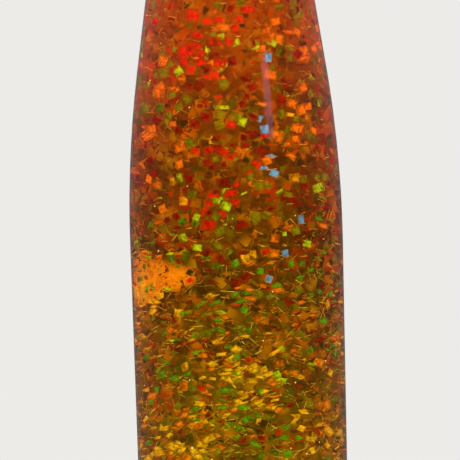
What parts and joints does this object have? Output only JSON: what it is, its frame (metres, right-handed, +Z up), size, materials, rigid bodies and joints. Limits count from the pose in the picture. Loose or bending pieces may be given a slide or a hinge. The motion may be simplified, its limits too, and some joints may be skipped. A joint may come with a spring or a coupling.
{
  "type": "glitter lamp",
  "caption": "Table lamp with a tapered glass bottle of amber liquid and glitter flakes on a waisted spun metal base, lit from below by a reflector bulb, with a cone cap.",
  "frame": {"origin": "centre of the lamp's footprint, on the surface that its feet stand on", "axes": "+Z up along the bottle's axis; +Y out of the back, where the cable enters; the front faces -Y"},
  "size_m": [0.108, 0.11, 0.402],
  "materials": {
    "spun_aluminium": "spun and brushed, clear lacquer",
    "plated_steel": "zinc plated, pressed",
    "screw_steel": "zinc plated",
    "rivet_aluminium": "dull",
    "foot_rubber": "matt black",
    "seat_silicone": "translucent matt silicone",
    "cap_felt": "pressed felt",
    "tinted_glass": "clear glass with a translucent coat that fades from red to yellow",
    "amber_liquid": "clear amber liquid",
    "glitter_film": "metallised film, cut square",
    "tinplate": "lacquered tinplate",
    "liner_plastic": "soft white",
    "holder_moulding": "black thermoset moulding",
    "holder_ceramic": "unglazed steatite",
    "brass": "bright, lightly tarnished",
    "bulb_glass": "clear face, silvered cheek",
    "bulb_cap_metal": "nickel plated, rolled thread",
    "black_glass": "glossy black vitrite",
    "solder": "dull solder",
    "nickel_wire": "drawn wire",
    "tungsten": "glowing coil",
    "switch_black": "fine spark texture",
    "rocker_black": "polished",
    "lead_sleeve": "brown insulation",
    "grommet_rubber": "moulded black"
  },
  "bodies": {
    "base": {"base_shell": "spun_aluminium", "bottom_plate": "plated_steel", "feet": "foot_rubber", "plate_lugs": "plated_steel", "plate_screws": "screw_steel", "holder_bracket": "plated_steel", "bracket_rivets": "rivet_aluminium", "holder_nipple": "plated_steel", "holder_nut": "plated_steel", "holder_body": "holder_moulding", "holder_core": "holder_ceramic", "screw_sleeve": "brass", "holder_terminals": "brass", "terminal_screws": "screw_steel", "seat_ring": "seat_silicone", "switch_housing": "switch_black", "switch_tabs": "brass", "cable_grommet": "grommet_rubber", "switch_lead": "lead_sleeve"},
    "contact": {"centre_contact": "brass"},
    "bulb": {"bulb_glass": "bulb_glass", "bulb_cap": "bulb_cap_metal", "bulb_insulator": "black_glass", "bulb_contact": "solder", "bulb_stem": "bulb_glass", "filament_wires": "nickel_wire", "filament": "tungsten"},
    "rocker_key": {"rocker": "rocker_black"},
    "bottle": {"glass_bottle": "tinted_glass", "liquid": "amber_liquid", "glitter_flakes": "glitter_film", "crown_liner": "liner_plastic", "crown_cap": "tinplate"},
    "cap": {"top_cap": "spun_aluminium", "cap_ring": "cap_felt"}
  },
  "joints": [
    {"name": "bottle_lift", "type": "slide", "parent": "base", "child": "bottle", "axis": [0, 0, 1], "range_m": [0, 0.12]},
    {"name": "cap_lift", "type": "slide", "parent": "bottle", "child": "cap", "axis": [0, 0, 1], "range_m": [0, 0.08]},
    {"name": "contact_rise", "type": "slide", "parent": "base", "child": "contact", "axis": [0, 0, 1], "range_m": [0, 0.00283]},
    {"name": "bulb_turn", "type": "hinge", "parent": "contact", "child": "bulb", "pos_m": [0, 0, 0.0206], "axis": [0, 0, 1], "range_deg": [0, 360]},
    {"name": "rocker_tip", "type": "hinge", "parent": "base", "child": "rocker_key", "pos_m": [0.04505, 0.03155, 0.0102], "axis": [0, 0, 1], "range_deg": [-18, 0]}
  ],
  "couplings": [
    {"joint": "contact_rise", "follows": "bulb_turn", "m_per_rad": 0.00044882}
  ]
}
